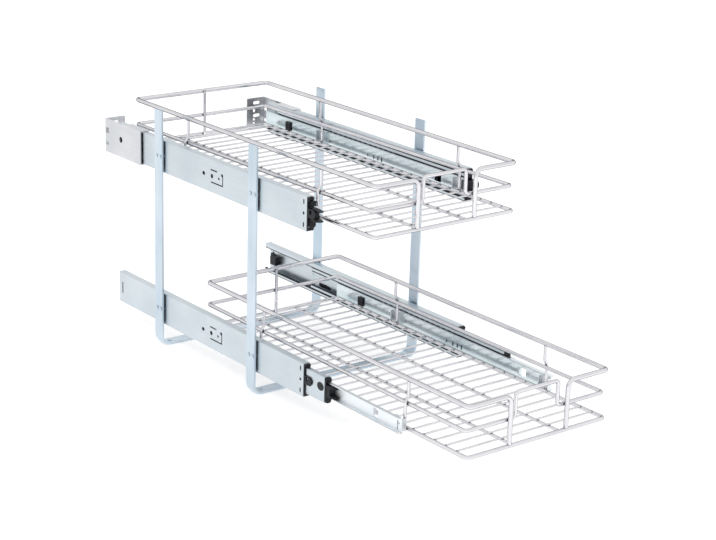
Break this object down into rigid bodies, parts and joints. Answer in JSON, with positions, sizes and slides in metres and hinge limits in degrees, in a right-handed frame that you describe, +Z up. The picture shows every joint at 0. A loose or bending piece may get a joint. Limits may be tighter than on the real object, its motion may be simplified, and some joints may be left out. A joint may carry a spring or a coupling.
{
  "type": "two-tier sliding wire basket shelf",
  "caption": "Pull-out cabinet shelf: strap frame, telescopic ball runners on two levels and chromed wire baskets that slide out to the front.",
  "frame": {"origin": "on the floor, midway between the four floor screw holes", "axes": "+X to the right seen from the front, -Y towards the user (the baskets pull that way), +Z up"},
  "size_m": [0.2814, 0.7845, 0.342],
  "materials": {
    "strap_zinc": "pale blue zinc plating",
    "runner_zinc": "light grey zinc plating",
    "sheet_zinc": "zinc plating",
    "rivet_zinc": "zinc plating",
    "bracket_steel": "satin nickel plating",
    "cage_steel": "bare rolled steel",
    "ball_steel": "polished",
    "wire_chrome": "bright chrome plating",
    "plastic_black": "moulded black"
  },
  "bodies": {
    "frame": {"front_strap": "strap_zinc", "rear_strap": "strap_zinc", "rivets": "rivet_zinc", "front_end_pieces": "plastic_black", "rear_bumpers": "plastic_black", "rear_bracket_left": "bracket_steel", "rear_bracket_right": "bracket_steel", "upper_left_cabinet_member": "runner_zinc", "upper_right_cabinet_member": "runner_zinc", "lower_left_cabinet_member": "runner_zinc", "lower_right_cabinet_member": "runner_zinc"},
    "upper_basket": {"upper_left_drawer_member": "runner_zinc", "upper_right_drawer_member": "runner_zinc", "upper_drawer_stops": "plastic_black", "upper_basket_rim": "wire_chrome", "upper_basket_mid_wire": "wire_chrome", "upper_basket_bottom_wire": "wire_chrome", "upper_basket_cross_wires": "wire_chrome", "upper_basket_floor_wires": "wire_chrome", "upper_basket_uprights": "wire_chrome", "upper_basket_clips": "sheet_zinc"},
    "upper_left_middle": {"upper_left_middle_member": "runner_zinc", "upper_left_end_cap": "plastic_black", "upper_left_inserts": "plastic_black"},
    "upper_left_outer_balls_and_cage": {"upper_left_outer_cage": "cage_steel", "upper_left_outer_balls": "ball_steel"},
    "upper_left_inner_balls_and_cage": {"upper_left_inner_cage": "cage_steel", "upper_left_inner_balls": "ball_steel"},
    "upper_right_middle": {"upper_right_middle_member": "runner_zinc", "upper_right_end_cap": "plastic_black", "upper_right_inserts": "plastic_black"},
    "upper_right_outer_balls_and_cage": {"upper_right_outer_cage": "cage_steel", "upper_right_outer_balls": "ball_steel"},
    "upper_right_inner_balls_and_cage": {"upper_right_inner_cage": "cage_steel", "upper_right_inner_balls": "ball_steel"},
    "lower_basket": {"lower_left_drawer_member": "runner_zinc", "lower_right_drawer_member": "runner_zinc", "lower_drawer_stops": "plastic_black", "lower_basket_rim": "wire_chrome", "lower_basket_mid_wire": "wire_chrome", "lower_basket_bottom_wire": "wire_chrome", "lower_basket_cross_wires": "wire_chrome", "lower_basket_floor_wires": "wire_chrome", "lower_basket_uprights": "wire_chrome", "lower_basket_clips": "sheet_zinc"},
    "lower_left_middle": {"lower_left_middle_member": "runner_zinc", "lower_left_end_cap": "plastic_black", "lower_left_inserts": "plastic_black"},
    "lower_left_outer_balls_and_cage": {"lower_left_outer_cage": "cage_steel", "lower_left_outer_balls": "ball_steel"},
    "lower_left_inner_balls_and_cage": {"lower_left_inner_cage": "cage_steel", "lower_left_inner_balls": "ball_steel"},
    "lower_right_middle": {"lower_right_middle_member": "runner_zinc", "lower_right_end_cap": "plastic_black", "lower_right_inserts": "plastic_black"},
    "lower_right_outer_balls_and_cage": {"lower_right_outer_cage": "cage_steel", "lower_right_outer_balls": "ball_steel"},
    "lower_right_inner_balls_and_cage": {"lower_right_inner_cage": "cage_steel", "lower_right_inner_balls": "ball_steel"}
  },
  "joints": [
    {"name": "upper_pull", "type": "slide", "parent": "frame", "child": "upper_basket", "axis": [0, -1, 0], "range_m": [0, 0.457]},
    {"name": "upper_left_middle_slide", "type": "slide", "parent": "frame", "child": "upper_left_middle", "axis": [0, -1, 0], "range_m": [0, 0.2285]},
    {"name": "upper_left_outer_cage_slide", "type": "slide", "parent": "frame", "child": "upper_left_outer_balls_and_cage", "axis": [0, -1, 0], "range_m": [0, 0.11425]},
    {"name": "upper_left_inner_cage_slide", "type": "slide", "parent": "frame", "child": "upper_left_inner_balls_and_cage", "axis": [0, -1, 0], "range_m": [0, 0.34275]},
    {"name": "upper_right_middle_slide", "type": "slide", "parent": "frame", "child": "upper_right_middle", "axis": [0, -1, 0], "range_m": [0, 0.2285]},
    {"name": "upper_right_outer_cage_slide", "type": "slide", "parent": "frame", "child": "upper_right_outer_balls_and_cage", "axis": [0, -1, 0], "range_m": [0, 0.11425]},
    {"name": "upper_right_inner_cage_slide", "type": "slide", "parent": "frame", "child": "upper_right_inner_balls_and_cage", "axis": [0, -1, 0], "range_m": [0, 0.34275]},
    {"name": "lower_pull", "type": "slide", "parent": "frame", "child": "lower_basket", "axis": [0, -1, 0], "range_m": [-0.1864, 0.2706]},
    {"name": "lower_left_middle_slide", "type": "slide", "parent": "frame", "child": "lower_left_middle", "axis": [0, -1, 0], "range_m": [-0.04101, 0.05953]},
    {"name": "lower_left_outer_cage_slide", "type": "slide", "parent": "frame", "child": "lower_left_outer_balls_and_cage", "axis": [0, -1, 0], "range_m": [-0.0205, 0.02977]},
    {"name": "lower_left_inner_cage_slide", "type": "slide", "parent": "frame", "child": "lower_left_inner_balls_and_cage", "axis": [0, -1, 0], "range_m": [-0.1137, 0.16507]},
    {"name": "lower_right_middle_slide", "type": "slide", "parent": "frame", "child": "lower_right_middle", "axis": [0, -1, 0], "range_m": [-0.0932, 0.1353]},
    {"name": "lower_right_outer_cage_slide", "type": "slide", "parent": "frame", "child": "lower_right_outer_balls_and_cage", "axis": [0, -1, 0], "range_m": [-0.0466, 0.06765]},
    {"name": "lower_right_inner_cage_slide", "type": "slide", "parent": "frame", "child": "lower_right_inner_balls_and_cage", "axis": [0, -1, 0], "range_m": [-0.1398, 0.20295]}
  ],
  "couplings": [
    {"joint": "upper_left_middle_slide", "follows": "upper_pull", "ratio": 0.5},
    {"joint": "upper_left_outer_cage_slide", "follows": "upper_pull", "ratio": 0.25},
    {"joint": "upper_left_inner_cage_slide", "follows": "upper_pull", "ratio": 0.75},
    {"joint": "upper_right_middle_slide", "follows": "upper_pull", "ratio": 0.5},
    {"joint": "upper_right_outer_cage_slide", "follows": "upper_pull", "ratio": 0.25},
    {"joint": "upper_right_inner_cage_slide", "follows": "upper_pull", "ratio": 0.75},
    {"joint": "lower_left_middle_slide", "follows": "lower_pull", "ratio": 0.22},
    {"joint": "lower_left_outer_cage_slide", "follows": "lower_pull", "ratio": 0.11},
    {"joint": "lower_left_inner_cage_slide", "follows": "lower_pull", "ratio": 0.61},
    {"joint": "lower_right_middle_slide", "follows": "lower_pull", "ratio": 0.5},
    {"joint": "lower_right_outer_cage_slide", "follows": "lower_pull", "ratio": 0.25},
    {"joint": "lower_right_inner_cage_slide", "follows": "lower_pull", "ratio": 0.75}
  ]
}
